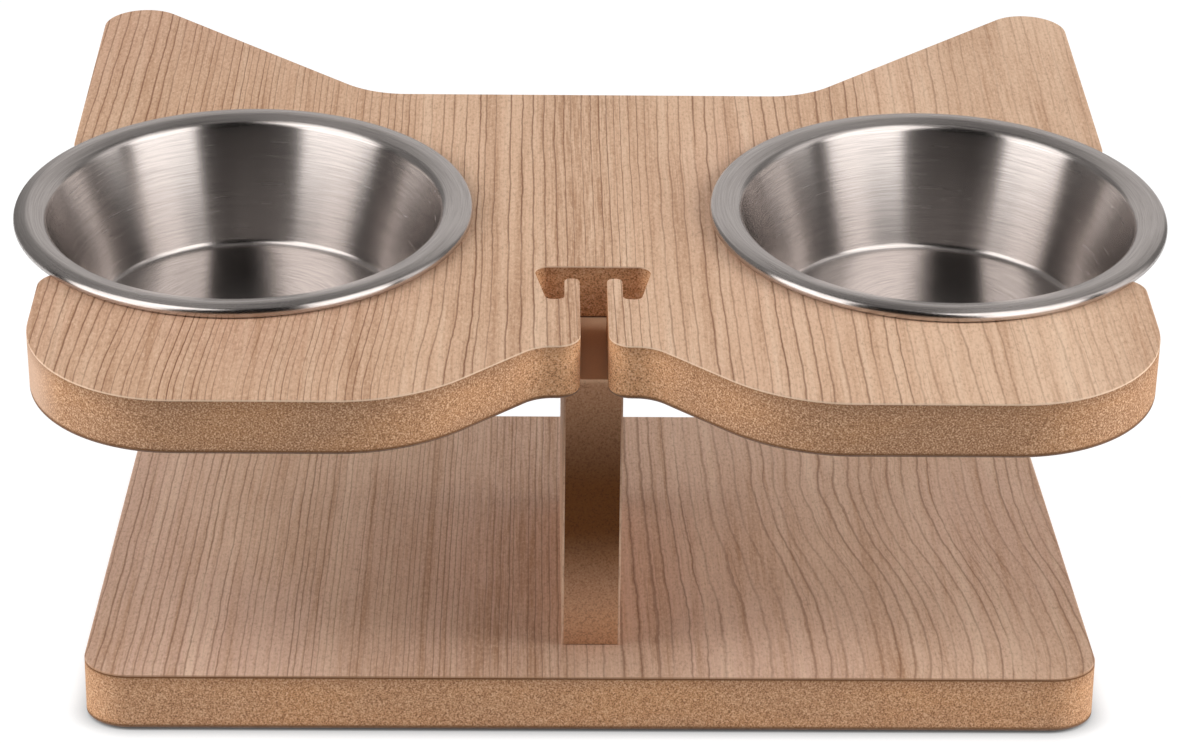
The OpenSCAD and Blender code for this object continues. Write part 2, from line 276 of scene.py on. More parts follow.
class Grain(Enum):
    """Noises of a wood face: waves to the metre across and along it, finer levels and their weight."""

    DRIFT = (6.0, 2.2, 1.0, 0.5)
    WAVE = (26.0, 30.0, 1.0, 0.5)
    SHAKE = (220.0, 150.0, 2.0, 0.5)
    CROWD = (34.0, 1.6, 1.0, 0.5)
    CURL = (5.0, 13.0, 1.0, 0.5)
    WAVER = (170.0, 16.0, 3.0, 0.5)
    FIBRE = (1500.0, 46.0, 4.0, 0.65)
    BAND = (240.0, 5.0, 3.0, 0.6)
    FLECK = (1250.0, 520.0, 2.0, 0.7)
    TONE = (26.0, 5.0, 2.0, 0.5)
    CLOUD = (9.0, 6.0, 1.0, 0.5)

    def on(self, shader: Shader, flat: Wire) -> Wire:
        """Add this noise to a shader."""
        across, along, detail, rough = self.value
        return shader.noise(flat, (across, along, 1.0), detail, rough)

    def about(self, shader: Shader, flat: Wire) -> Wire:
        """Add this noise, moved to lie about 0."""
        return self.on(shader, flat) - 0.5


@dataclass(frozen=True)
class Spot:
    """Where a wood face is painted: across the grain, along it, and both as a vector."""

    across: Wire
    along: Wire
    flat: Wire


@dataclass(frozen=True)
class WoodFace(Finish):
    """Thin wood face: pale tan, with fine dark ring lines that run front to back.

    Rings are cells of one-dimensional Voronoi noise across the board, read at a place that wanders along it.
    """

    VORONOI = "ShaderNodeTexVoronoi"
    UNEVEN = 0.88
    FINE_RINGS = 2.7
    SHAKE_REACH = 0.6
    CURL_REACH = 0.008
    WIDENING = 0.34
    PLAIN_AND_LIT_FADE = 70.0
    STREAK_AND_SHADOW_DRIFT = 0.02
    FIBRE_DEPTH = 0.00006

    name: str = "wood_face"
    slot: Slot = Slot.WOOD_FACE
    seed: float = 0.0
    tilt: float = 0.0
    upright: bool = False
    height: float = 0.0
    ring: float = 3.7
    line_wide: float = 0.4
    line_share: float = 0.95
    drift: float = 16.0
    wave: float = 1.5
    crowd: float = 6.0
    packed: tuple[tuple[float, float, float], ...] = ()
    # Where the rings grow plain, from here to the right; the wood there is also painted lighter, as painted
    # light.
    plain_and_lit_from: float = 1000.0
    # How much darker the left half is: partly the wood's own tone, partly painted shade.
    left_tone_and_shade: float = 0.0
    sway: float = 0.0
    swing: float = 0.0
    streak_and_shadow_at: float = 0.0
    streak_and_shadow: float = 0.0
    pale: Colour = (222, 184, 154)
    rosy: Colour = (217, 176, 150)
    late: Colour = (184, 143, 113)
    line: Colour = (112, 70, 44)
    light: Colour = (242, 212, 184)
    # Colour of the face's rounded edge: light by default, a painted highlight; darker on the base and the
    # underside, their cut edge.
    cut: Colour = (232, 204, 176)

    def swung(self, shader: Shader, spot: Spot) -> Wire:
        """Give how far the rings of the right half swing out towards the front, and widen, in metres."""
        near = shader.rise(spot.across, 0.0, 0.09) * shader.rise(spot.across, 0.24, 0.1)
        front = shader.rise(spot.along, 0.03, -0.09)
        curl = shader.rise(spot.across, 0.0, 0.08) * Grain.CURL.about(shader, spot.flat)
        wider = shader.maths("MAXIMUM", spot.across, 0.0) * self.WIDENING
        return near * front * (self.swing * MM) + curl * self.CURL_REACH + wider

    def ring_place(self, shader: Shader, spot: Spot) -> Wire:
        """Give where the rings are read, in metres: the place across, let wander, crowd and swing."""
        wander = (
            (Grain.DRIFT, self.drift),
            (Grain.WAVE, self.wave),
            (Grain.SHAKE, self.SHAKE_REACH),
            (Grain.CROWD, self.crowd),
        )
        ring_at = spot.across
        for grain, reach in wander:
            ring_at = ring_at + grain.about(shader, spot.flat) * (reach * MM)
        for start, end, extra in self.packed:
            ring_at = ring_at + shader.rise(spot.across, start * MM, end * MM) * (extra * MM)
        if self.swing:
            ring_at = ring_at - self.swung(shader, spot)
        if self.sway:
            cheek = shader.rise(spot.across, -0.01, -0.07) * shader.rise(spot.across, -0.175, -0.125)
            ring_at = ring_at + cheek * shader.rise(spot.along, -0.05, -0.12) * (self.sway * MM)
        return ring_at

    def rings(self, shader: Shader, spot: Spot, plain: Wire) -> tuple[Wire, Wire, Wire]:
        """Make the rings.

        Args:
            shader: The shader to make them in.
            spot: The place on the board.
            plain: How plain the wood is there, from 0 to 1.

        Returns:
            The dark line at each ring's edge, the late wood beside it, and faint lines between.
        """
        ring_at = self.ring_place(shader, spot)
        cells = {"W": ring_at, "Scale": 1 / (self.ring * MM), "Randomness": self.UNEVEN}
        fine_cells = {**cells, "Scale": self.FINE_RINGS / (self.ring * MM)}
        to_edge = {"voronoi_dimensions": "1D", "feature": "DISTANCE_TO_EDGE"}
        to_middle = {"voronoi_dimensions": "1D", "feature": "F1"}
        edge = shader.make(self.VORONOI, to_edge, cells, "Distance")
        fine = shader.make(self.VORONOI, to_edge, fine_cells, "Distance")
        middle = shader.make(self.VORONOI, to_middle, cells, "W")
        luck = shader.parts(middle.other("Color"))[0]
        waver = Grain.WAVER.on(shader, spot.flat)
        bold = (0.26 + luck * 0.74) * (1.0 - plain * 0.6)
        line = shader.rise(edge, self.line_wide / self.ring, 0.01) * shader.rise(waver, 0.15, 0.48) * bold
        one_side = shader.rise(edge, 0.4, 0.0) * (ring_at - middle > 0.0)
        late = one_side * shader.rise(waver, 0.3, 0.75) * bold
        faint = shader.rise(fine, 0.12, 0.02) * shader.rise(waver, 0.45, 0.75)
        return line, late, faint

    def deep(self, shader: Shader, spot: Spot, fibre: Wire, band: Wire) -> Wire:
        """Give the late wood's share beside the rings: broad changes, fibres, bands, darker places and
        painted shade.
        """
        tone = Grain.TONE.on(shader, spot.flat)
        deep = shader.rise(tone, 0.4, 0.8) * 0.45 + shader.rise(fibre, 0.42, 0.75) * 0.4
        deep = deep + shader.rise(band, 0.5, 0.72) * 0.5
        # The left half is darker, partly the wood's own tone and partly painted shade; the front end of the
        # right cheek is darker too.
        if self.left_tone_and_shade:
            cheek_end = shader.rise(spot.across, 0.14, 0.17) * shader.rise(spot.along, -0.02, -0.07)
            deep = deep + shader.rise(spot.across, -0.03, -0.13) * self.left_tone_and_shade + cheek_end * 0.4
        # A darker streak along the grain; on the base it is the post's shadow, painted to the left of it.
        if self.streak_and_shadow:
            drift = Grain.DRIFT.about(shader, spot.flat) * self.STREAK_AND_SHADOW_DRIFT
            away = shader.maths("ABSOLUTE", spot.across + drift - self.streak_and_shadow_at * MM)
            deep = deep + shader.rise(away, 0.02, 0.002) * shader.rise(fibre, 0.3, 0.6) * self.streak_and_shadow
        return deep

    def paint(self, shader: Shader) -> Wire:
        """Make rings, fibres and broad changes of tone."""
        x, y, z = shader.parts(shader.board_place(self.tilt, self.height))
        across, along = (y, z) if self.upright else (x, y)
        spot = Spot(across, along, shader.joined(across, along, self.seed))
        fibre = Grain.FIBRE.on(shader, spot.flat)
        band = Grain.BAND.on(shader, spot.flat)
        fleck = Grain.FLECK.on(shader, spot.flat)
        cloud = Grain.CLOUD.on(shader, spot.flat)
        plain = shader.rise(across, self.plain_and_lit_from * MM, (self.plain_and_lit_from + self.PLAIN_AND_LIT_FADE) * MM)
        line, late, faint = self.rings(shader, spot, plain)
        layers = [
            (shader.rise(cloud, 0.35, 0.65), self.rosy),
            # Painted light: on the right side, where the rings grow plain, the wood is also painted lighter,
            # as more light falls there.
            (plain * 0.3, self.light),
            (shader.rise(band, 0.5, 0.28) * 0.4, self.light),
            (self.deep(shader, spot, fibre, band) + late * 0.7, self.late),
            (shader.rise(fleck, 0.5, 0.75) * 0.3, self.line),
            (shader.rise(fleck, 0.5, 0.25) * 0.36, self.light),
            (line * self.line_share + faint * 0.3, self.line),
        ]
        if not self.upright:
            # The rounded edge below the face: on the top a painted highlight, on the base and the underside
            # the darker cut edge.
            layers.append((shader.rise(z, -0.00004, -0.0002) * 0.7, self.cut))
        height = shader.rise(fibre, 0.3, 0.7) * 0.5 - line
        return shader.principled(
            {
                "Base Color": shader.layered(self.pale, layers),
                "Roughness": 0.5 + fibre * 0.2,
                "Specular IOR Level": 0.3,
                "Normal": shader.bump(height, self.FIBRE_DEPTH, 0.5),
            }
        )


@dataclass(frozen=True)
class Fibreboard(Finish):
    """Sawn fibreboard edge: speckled brown, with a dark joint line at each face and painted shade in and
    beside it; the top and the post also take painted light, and the post a painted shadow.
    """

    SPECKLE = (1900.0, 1900.0, 1900.0)
    CHIPS = (600.0, 600.0, 1300.0)
    CLOUD = (26.0, 26.0, 60.0)
    SPECKLE_DEPTH = 0.00008
    LEFT_LIGHT_FADE = 12.0
    LIT_TOP_FADE = 2.5

    name: str = "fibreboard"
    slot: Slot = Slot.FIBREBOARD
    tilt: float = 0.0
    top: float = 0.0
    thick: float = 16.8
    upper_joint_shade: float = 0.5
    lower_joint_shade: float = 0.5
    calm: float = 0.0
    grit: float = 0.72
    # Share of painted light near the middle, where the edges turn in towards the slot.
    nose: float = 0.0
    left_light_from: float = 1000.0
    painted_shadow: float = 0.0
    painted_shadow_low: float = 24.0
    painted_shadow_high: float = 60.0
    painted_shadow_fade: float = 70.0
    painted_shadow_end: float = 128.0
    lit_top_from: float = 106.0
    painted_shadow_tone: Colour = (123, 96, 52)
    left_light_tone: Colour = (206, 174, 152)
    painted_nose_light: Colour = (226, 170, 122)
    brown: Colour = (177, 134, 101)
    orange: Colour = (187, 140, 102)
    pale: Colour = (238, 202, 168)
    dark: Colour = (112, 75, 48)

    def paint(self, shader: Shader) -> Wire:
        """Make the speckle, the joint lines with their painted shade, and the painted light and shadow."""
        place = shader.board_place(self.tilt)
        across, _, height = shader.parts(place)
        from_middle = shader.maths("ABSOLUTE", across)
        below = self.top * MM - height
        above = height - (self.top - self.thick) * MM
        speckle = shader.noise(place, self.SPECKLE, 1.5, 0.6)
        chips = shader.noise(place, self.CHIPS, 2.0, 0.6)
        cloud = shader.noise(place, self.CLOUD, 2.0)
        # Painted light: the top's left end is painted paler and less orange, as the light from the left falls
        # on it.
        end = shader.rise(across, -self.left_light_from * MM, -(self.left_light_from + self.LEFT_LIGHT_FADE) * MM)
        # Painted shade next to the faces: a dark joint line, partly painted shade in the groove, with a soft
        # painted shade fading from it; at the post's foot the lower line is painted contact shade.
        upper = shader.rise(below, 0.005, 0.0) * 0.25 + shader.rise(below, 0.0009, 0.0002) * self.upper_joint_shade
        lower = shader.rise(above, 0.002, 0.0) * 0.15 + shader.rise(above, 0.0009, 0.0002) * self.lower_joint_shade
        if self.calm:
            lower = lower * shader.rise(from_middle, self.calm * 0.6 * MM, self.calm * MM)
        layers = (
            (shader.rise(cloud, 0.4, 0.7), self.orange),
            # Painted light: paler and warmer near the middle, where the edges turn in towards the slot and
            # face away from the light.
            (shader.rise(from_middle, 0.032, 0.01) * self.nose, self.painted_nose_light),
            (shader.rise(speckle, 0.5, 0.7) * self.grit, self.pale),
            (shader.rise(speckle, 0.5, 0.3) * self.grit, self.dark),
            (shader.rise(chips, 0.55, 0.8) * 0.12, self.pale),
            (end * 0.75, self.left_light_tone),
            (upper + lower, self.dark),
        )
        colour = shader.layered(self.brown, layers)
        if self.painted_shadow:
            colour = self.darkened(shader, colour, height)
        return shader.principled(
            {
                "Base Color": colour,
                "Roughness": 0.78 + speckle * 0.2,
                "Specular IOR Level": 0.2,
                "Normal": shader.bump(speckle, self.SPECKLE_DEPTH, 0.5),
            }
        )

    def darkened(self, shader: Shader, colour: Wire, height: Wire) -> Wire:
        """Paint the top's shadow on the post, darker by height above the floor, and paint the post's top end,
        in the slot, paler as painted light.
        """
        # Painted shadow of the top over the post's upper part.
        painted_shadow = shader.rise(height, self.painted_shadow_low * MM, self.painted_shadow_high * MM) * self.painted_shadow
        painted_shadow = painted_shadow * shader.rise(height, self.painted_shadow_end * MM, self.painted_shadow_fade * MM)
        colour = shader.mix(painted_shadow, colour, linear(self.painted_shadow_tone), "MULTIPLY")
        # Painted light: the post's top end, seen down the slot, is painted paler than its shade lets it look.
        sawn = shader.rise(height, self.lit_top_from * MM, (self.lit_top_from + self.LIT_TOP_FADE) * MM)
        return shader.mix(sawn * 0.78, colour, linear(self.pale))


@dataclass(frozen=True)
class BrushedSteel(Finish):
    """Satin stainless steel, brushed round the dish."""

    SCRATCH = (2600.0, 3.0, 3.0)
    STROKE = (700.0, 2.2, 2.2)
    SCRATCH_DEPTH = 0.00001
    FLOOR_EDGE = (0.0492, 0.0478)

    name: str = "brushed_steel"
    slot: Slot = Slot.STEEL
    centre: float = 0.0
    grey: Colour = (208, 202, 199)
    dull: Colour = (170, 163, 160)

    def paint(self, shader: Shader) -> Wire:
        """Make the brushing, as fine rings broken along their length."""
        shift = Matrix.Rotation(-TILT, 3, "X") @ (-DISH_LINE * MM) - Vector((self.centre * MM, 0, 0))
        x, y, z = shader.parts(shader.place(turn=(-TILT, 0, 0), shift=shift))
        radius = shader.maths("SQRT", x * x + y * y)
        brushed = shader.joined(radius * 0.8 + z, x / radius, y / radius)
        scratch = shader.noise(brushed, self.SCRATCH, 4.0, 0.7)
        stroke = shader.noise(brushed, self.STROKE, 3.0, 0.6)
        tone = shader.mix(shader.rise(scratch, 0.35, 0.7) * 0.6, linear(self.grey), linear(self.dull))
        floor = shader.rise(radius, *self.FLOOR_EDGE)
        sockets = {
            "Base Color": tone,
            "Metallic": 1.0,
            "Roughness": 0.16 + scratch * 0.1 + stroke * 0.08 - floor * 0.1,
            "Anisotropic": 0.85,
            "Anisotropic Rotation": 0.25,
            "Normal": shader.bump(scratch, self.SCRATCH_DEPTH, 0.4),
        }
        return shader.principled(sockets)


@dataclass(frozen=True)
class PlainFinish(Finish):
    """A small part's finish, whose tone, gloss and height follow one noise.

    The tone goes from the first colour to the second, and the roughness up from its least value.
    """

    name: str
    slot: Slot
    waves: tuple[float, float, float]
    first: Colour
    second: Colour
    rough: float
    rougher: float
    depth: float
    detail: float = 2.0
    strength: float = 0.5
    metallic: float = 0.0

    def paint(self, shader: Shader) -> Wire:
        """Make the noise and what follows it."""
        grain = shader.noise(shader.place(), self.waves, self.detail)
        return shader.principled(
            {
                "Base Color": shader.mix(grain, linear(self.first), linear(self.second)),
                "Metallic": self.metallic,
                "Roughness": self.rough + grain * self.rougher,
                "Normal": shader.bump(grain, self.depth, self.strength),
            }
        )


PAD_RUBBER = PlainFinish(
    name="pad_rubber",
    slot=Slot.PAD,
    waves=(1500.0, 1500.0, 1500.0),
    first=(34, 34, 34),
    second=(58, 57, 56),
    rough=0.75,
    rougher=0.2,
    depth=0.00008,
    strength=0.6,
)
ZINC_PLATE = PlainFinish(
    name="zinc_plate",
    slot=Slot.ZINC,
    waves=(260.0, 260.0, 260.0),
    detail=3.0,
    first=(168, 170, 176),
    second=(206, 206, 204),
    rough=0.28,
    rougher=0.2,
    depth=0.00002,
    strength=0.4,
    metallic=1.0,
)
DOWEL_WOOD = PlainFinish(
    name="dowel_wood",
    slot=Slot.DOWEL,
    waves=(900.0, 900.0, 40.0),
    detail=3.0,
    first=(226, 198, 154),
    second=(188, 154, 110),
    rough=0.6,
    rougher=0.15,
    depth=0.00005,
)
CAP_PLASTIC = PlainFinish(
    name="cap_plastic",
    slot=Slot.CAP,
    waves=(1800.0, 1800.0, 1800.0),
    first=(210, 176, 148),
    second=(198, 164, 136),
    rough=0.42,
    rougher=0.12,
    depth=0.00003,
)
BACKING = WoodFace(
    name="backing_face",
    seed=6.2,
    height=1000.0,
    pale=(158, 132, 114),
    rosy=(152, 124, 108),
    late=(132, 104, 88),
    line=(98, 72, 56),
    light=(178, 152, 132),
    cut=(112, 84, 64),
)


@dataclass(frozen=True)
class Corner:
    """A corner of an outline and the radius that it is rounded to."""

    x: float
    y: float
    radius: float

    @property
    def spot(self) -> Vector:
        """The sharp corner's place."""
        return Vector((self.x, self.y))


class Outline:
    """A closed outline walked with the board on its left, as points and the way out at each."""

    CHORD = 1.2
    STEP = math.radians(6.0)

    def __init__(self) -> None:
        """Start with no points."""
        self.spots: list[tuple[Vector, Vector]] = []

    def arc(self, centre: Vector, radius: float, start: float, sweep: float) -> None:
        """Walk an arc from a start angle through a sweep; one that goes clockwise is hollow."""
        steps = max(3, math.ceil(abs(sweep) * max(radius / self.CHORD, 1 / self.STEP) - 0.01))
        for step in range(steps + 1):
            angle = start + sweep * step / steps
            out = Vector((math.cos(angle), math.sin(angle)))
            self.spots.append((centre + out * radius, out if sweep > 0 else -out))

    def corner(self, before: Corner, here: Corner, after: Corner) -> None:
        """Walk round a corner, on the way from the one before it to the one after it."""
        way_in = (here.spot - before.spot).normalized()
        way_on = (after.spot - here.spot).normalized()
        turn = math.atan2(way_in.x * way_on.y - way_in.y * way_on.x, way_in.dot(way_on))
        start = here.spot - way_in * here.radius * math.tan(abs(turn) / 2)
        inward = Vector((-way_in.y, way_in.x)) * math.copysign(here.radius, turn)
        out = -inward
        self.arc(start + inward, here.radius, math.atan2(out.y, out.x), turn)

    def mirror(self) -> None:
        """Add the left half as a mirror of the right."""
        flip = Vector((-1.0, 1.0))
        self.spots += [(spot * flip, out * flip) for spot, out in reversed(self.spots)]

    def ring(self, inset: float, height: float, place: Matrix) -> list[Vector]:
        """Give the outline, drawn in and at a height of a frame, as a ring of points in metres."""
        points = [(spot - out * inset) * MM for spot, out in self.spots]
        return [place @ Vector((point.x, point.y, height * MM)) for point in points]


@dataclass(frozen=True)
class Bore:
    """A round hole: where it starts, how long and wide it is, and the frame it is square to."""

    at: tuple[float, float, float]
    length: float
    wide: float
    end_wide: Optional[float] = None
    place: Optional[Matrix] = None
    sideways: bool = False

    def matrix(self) -> Matrix:
        """Give the place of a cutter of this size, whose middle is at its origin."""
        turn = Matrix.Rotation(math.pi / 2, 4, "Y") if self.sideways else LEVEL_FRAME
        half = Matrix.Translation((0, 0, self.length / 2 * MM))
        return (self.place or LEVEL_FRAME) @ Matrix.Translation(Vector(self.at) * MM) @ turn @ half


class Bench:
    """Hand tools, each used on one piece through Blender's operators."""

    BORE_SIDES = 48
    WELD = 0.000002

    @staticmethod
    def clear() -> None:
        """Leave edit mode and select nothing."""
        if bpy.context.mode != "OBJECT":
            bpy.ops.object.mode_set(mode="OBJECT")
        bpy.ops.object.select_all(action="DESELECT")

    @classmethod
    def take(cls, piece: bpy.types.Object) -> None:
        """Select one piece alone."""
        cls.clear()
        piece.select_set(True)
        bpy.context.view_layer.objects.active = piece

    @classmethod
    def edit(cls, piece: bpy.types.Object, action: str = "SELECT") -> None:
        """Open a piece in edit mode, with all of it selected or none."""
        cls.take(piece)
        bpy.ops.object.mode_set(mode="EDIT")
        bpy.ops.mesh.select_all(action=action)

    @staticmethod
    def named(name: str) -> bpy.types.Object:
        """Name the piece that was just added."""
        piece = bpy.context.active_object
        piece.name = piece.data.name = name
        return piece

    @classmethod
    def finish(cls, piece: bpy.types.Object, angle: float = 35.0) -> bpy.types.Object:
        """Turn faces outwards and smooth the edges that are gentler than an angle in degrees."""
        cls.edit(piece)
        bpy.ops.mesh.normals_make_consistent(inside=False)
        bpy.ops.object.mode_set(mode="OBJECT")
        bpy.ops.object.shade_smooth_by_angle(angle=math.radians(angle))
        return piece

    @classmethod
    def circle(cls, name: str, count: int, fill: str) -> bpy.types.Object:
        """Add a circle of points, which are moved to an outline later."""
        cls.clear()
        bpy.ops.mesh.primitive_circle_add(vertices=count, radius=0.1, fill_type=fill)
        return cls.named(name)

    @classmethod
    def layered(cls, name: str, rings: Sequence[Sequence[Vector]]) -> bpy.types.Object:
        """Extrude a filled outline from ring to ring.

        Args:
            name: The piece's name.
            rings: Rings of the same number of points, from the bottom up.

        Returns:
            The closed piece.
        """
        piece = cls.circle(name, len(rings[0]), "NGON")
        cls.edit(piece)
        mesh = bmesh.from_edit_mesh(piece.data)
        order = mesh.verts.layers.int.new("order")
        for number, vert in enumerate(mesh.verts):
            vert[order] = number
            vert.co = rings[0][number]
        bmesh.update_edit_mesh(piece.data)
        for ring in rings[1:]:
            bpy.ops.mesh.extrude_region_move()
            mesh = bmesh.from_edit_mesh(piece.data)
            order = mesh.verts.layers.int["order"]
            for vert in mesh.verts:
                if vert.select:
                    vert.co = ring[vert[order]]
            bmesh.update_edit_mesh(piece.data)
        mesh = bmesh.from_edit_mesh(piece.data)
        mesh.verts.layers.int.remove(mesh.verts.layers.int["order"])
        bmesh.update_edit_mesh(piece.data)
        bpy.ops.object.mode_set(mode="OBJECT")
        return piece

    @classmethod
    def spun(cls, name: str, section: Sequence[tuple[float, float]], steps: int) -> bpy.types.Object:
        """Spin a section round the upright axis.

        Args:
            name: The piece's name.
            section: Radius and height along the section, which starts and ends on the axis.
            steps: Steps of the spin.

        Returns:
            The closed piece, round the origin.
        """
        piece = cls.circle(name, len(section), "NOTHING")
        cls.edit(piece, "DESELECT")
        mesh = bmesh.from_edit_mesh(piece.data)
        mesh.verts.ensure_lookup_table()
        for vert, (radius, height) in zip(mesh.verts, section):
            vert.co = (radius * MM, 0.0, height * MM)
        ends = {mesh.verts[0], mesh.verts[len(section) - 1]}
        for edge in mesh.edges:
            if set(edge.verts) == ends:
                edge.select_set(True)
        bmesh.update_edit_mesh(piece.data)
        bpy.ops.mesh.select_mode(type="EDGE")
        bpy.ops.mesh.delete(type="EDGE")
        bpy.ops.mesh.select_all(action="SELECT")
        bpy.ops.mesh.spin(steps=steps, angle=2 * math.pi, center=(0, 0, 0), axis=(0, 0, 1))
        bpy.ops.mesh.select_all(action="SELECT")
        bpy.ops.mesh.remove_doubles(threshold=cls.WELD)
        bpy.ops.mesh.select_mode(type="VERT")
        bpy.ops.object.mode_set(mode="OBJECT")
        return piece

    @classmethod
    def block(cls, name: str, low: Vector, high: Vector) -> bpy.types.Object:
        """Add a sawn block between two corners in millimetres, with its place in its mesh."""
        cls.clear()
        bpy.ops.mesh.primitive_cube_add(size=1, location=(low + high) * (MM / 2), scale=(high - low) * MM)
        piece = cls.named(name)
        bpy.ops.object.transform_apply(location=True, rotation=True, scale=True)
        return piece

    @classmethod
    def saw(cls, piece: bpy.types.Object, point: Vector, out: Vector) -> None:
        """Saw off what lies beyond a plane, through a point in metres and facing out."""
        cls.edit(piece)
        bpy.ops.mesh.bisect(plane_co=point, plane_no=out, use_fill=True, clear_outer=True)
        bpy.ops.object.mode_set(mode="OBJECT")

    @classmethod
    def ease(
        cls,
        piece: bpy.types.Object,
        chosen: Callable[[Vector, Vector], bool],
        width: float,
        segments: int = 3,
    ) -> None:
        """Bevel the edges that are chosen.

        Args:
            piece: The piece.
            chosen: Says whether an edge is meant, from its middle and its direction.
            width: Width of the bevel, in millimetres.
            segments: Faces across it.
        """
        cls.edit(piece, "DESELECT")
        bpy.ops.mesh.select_mode(type="EDGE")
        mesh = bmesh.from_edit_mesh(piece.data)
        for edge in mesh.edges:
            first, second = (vert.co for vert in edge.verts)
            if chosen((first + second) / 2, (second - first).normalized()):
                edge.select_set(True)
        bmesh.update_edit_mesh(piece.data)
        bpy.ops.mesh.bevel(offset=width * MM, segments=segments, affect="EDGES")
        bpy.ops.mesh.select_mode(type="VERT")
        bpy.ops.object.mode_set(mode="OBJECT")

    @classmethod
    def bore(cls, piece: bpy.types.Object, bores: Sequence[Bore]) -> None:
        """Bore holes in a piece, each with a cutter of its own size."""
        for bore in bores:
            cls.clear()
            end = bore.wide if bore.end_wide is None else bore.end_wide
            bpy.ops.mesh.primitive_cone_add(
                vertices=cls.BORE_SIDES,
                radius1=bore.wide / 2 * MM,
                radius2=end / 2 * MM,
                depth=bore.length * MM,
            )
            cutter = cls.named("cutter")
            cutter.matrix_world = bore.matrix()
            hole = piece.modifiers.new("hole", "BOOLEAN")
            hole.operation = "DIFFERENCE"
            hole.solver = "EXACT"
            hole.object = cutter
            cls.take(piece)
            bpy.ops.object.modifier_apply(modifier=hole.name)
            bpy.data.meshes.remove(cutter.data)

    @classmethod
    def set_down(cls, piece: bpy.types.Object, place: Matrix) -> None:
        """Put a piece in its place and keep that place in its mesh."""
        cls.take(piece)
        piece.matrix_world = place
        bpy.ops.object.transform_apply(location=True, rotation=True, scale=True)

    @classmethod
    def copy(cls, piece: bpy.types.Object, name: str) -> bpy.types.Object:
        """Copy a piece, with a mesh of its own."""
        cls.take(piece)
        bpy.ops.object.duplicate(linked=False)
        return cls.named(name)

    @classmethod
    def join(cls, piece: bpy.types.Object, others: Sequence[bpy.types.Object]) -> None:
        """Join other pieces to one."""
        cls.take(piece)
        for other in others:
            other.select_set(True)
        bpy.ops.object.join()


def place_piece(piece: bpy.types.Object, finish: Finish, body: str, node: str) -> None:
    """Dress a finished piece, tie it to its body and let it stand for a node of the frame."""
    finish.dress(piece)
    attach(piece, body)
    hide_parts(node)
    LOG.info("%s: %d faces, for %s", piece.name, len(piece.data.polygons), node)


def eased(inset: float, flat: float, steps: int = 4) -> list[tuple[float, float]]:
    """Give how far in and how far down each ring of a rounded edge lies; the last one keeps the face flat."""
    turns = [math.pi / 2 * step / steps for step in range(steps + 1)]
    return [(inset * (1 - math.cos(t)), inset * (1 - math.sin(t))) for t in turns] + [(flat, 0.0)]


@dataclass
class Fixings:
    """Dowels, screws and cam fittings: where they are bored, in millimetres."""

    gap: float = 0.1
    room: float = 0.5
    dowel: float = 8.0
    dowel_in_board: float = 11.0
    dowel_in_post: float = 19.0
    base_dowels: tuple[float, float] = (-79.948, 2.052)
    top_dowels: tuple[float, float] = (-9.35, 26.185)
    screw: float = 5.0
    screw_head: float = 10.0
    screw_length: float = 50.0
    base_screws: tuple[float, float] = (-57.948, -19.948)
    cams: tuple[float, float] = (-27.117, 8.418)
    cam: float = 15.0
    cam_length: float = 12.0
    cam_recess: float = 0.6
    cam_drop: float = 24.0
    bolt_thread: float = 6.0
    bolt_thread_length: float = 11.0
    bolt_head: float = 7.0
    bolt_head_height: float = 3.0

    def in_base(self) -> list[Bore]:
        """Give the holes of the base's dowels and screws."""
        wide = self.dowel + 2 * self.gap
        start = BASE_TOP - self.dowel_in_board - self.room
        length = self.dowel_in_board + self.dowel_in_post + 2 * self.room
        return [Bore((0, y, start), length, wide) for y in self.base_dowels] + self.screw_bores()

    def screw_bores(self) -> list[Bore]:
        """Give the countersunk holes of the base's screws."""
        head, shank = self.screw_head + 2 * self.gap, self.screw + 2 * self.gap
        sunk = (self.screw_head - self.screw) / 2
        slope = (head - shank) / sunk
        lead = 0.4
        mouth, length = head + lead * slope, self.screw_length + self.room - sunk / 2
        heads = [Bore((0, y, PAD_HEIGHT - lead), sunk + lead, mouth, shank) for y in self.base_screws]
        return heads + [Bore((0, y, PAD_HEIGHT + sunk / 2), length, shank) for y in self.base_screws]

    def top_dowel_bores(self) -> list[Bore]:
        """Give the holes of the dowels between the post and the top."""
        start = -BOARD - self.dowel_in_post - self.room
        length = self.dowel_in_board + self.dowel_in_post + 2 * self.room
        wide = self.dowel + 2 * self.gap
        return [Bore((0, y, start), length, wide, place=TOP_FRAME) for y in self.top_dowels]

    def in_top(self) -> list[Bore]:
        """Give the holes in the top's underside."""
        wide = self.bolt_thread + 2 * self.gap
        length = self.bolt_thread_length + self.room
        bolts = [Bore((0, y, -BOARD - 1), length + 1, wide, place=TOP_FRAME) for y in self.cams]
        return self.top_dowel_bores() + bolts

    def bolt_ways(self) -> list[Bore]:
        """Give the ways by which the bolts enter the post."""
        length = self.cam_drop + self.bolt_head_height / 2 + self.room
        wide = self.bolt_head + 2 * self.gap
        return [Bore((0, y, -BOARD - length), length + 1, wide, place=TOP_FRAME) for y in self.cams]

    def pockets(self) -> list[Bore]:
        """Give the pockets of the cam locks in the post's right side."""
        length = self.cam_recess + self.cam_length
        start = BOARD / 2 - length
        return [
            Bore((start, y, -BOARD - self.cam_drop), length + 1, self.cam, place=TOP_FRAME, sideways=True)
            for y in self.cams
        ]

    def dress(self) -> None:
        """Dress the fittings that stay as they are in the frame."""
        for node in ("base_screws", "cam_bolts", "cam_locks"):
            ZINC_PLATE.dress_node(node)
        for node in ("base_dowels", "top_dowels"):
            DOWEL_WOOD.dress_node(node)
        LOG.info("screws, bolts, locks and dowels dressed")


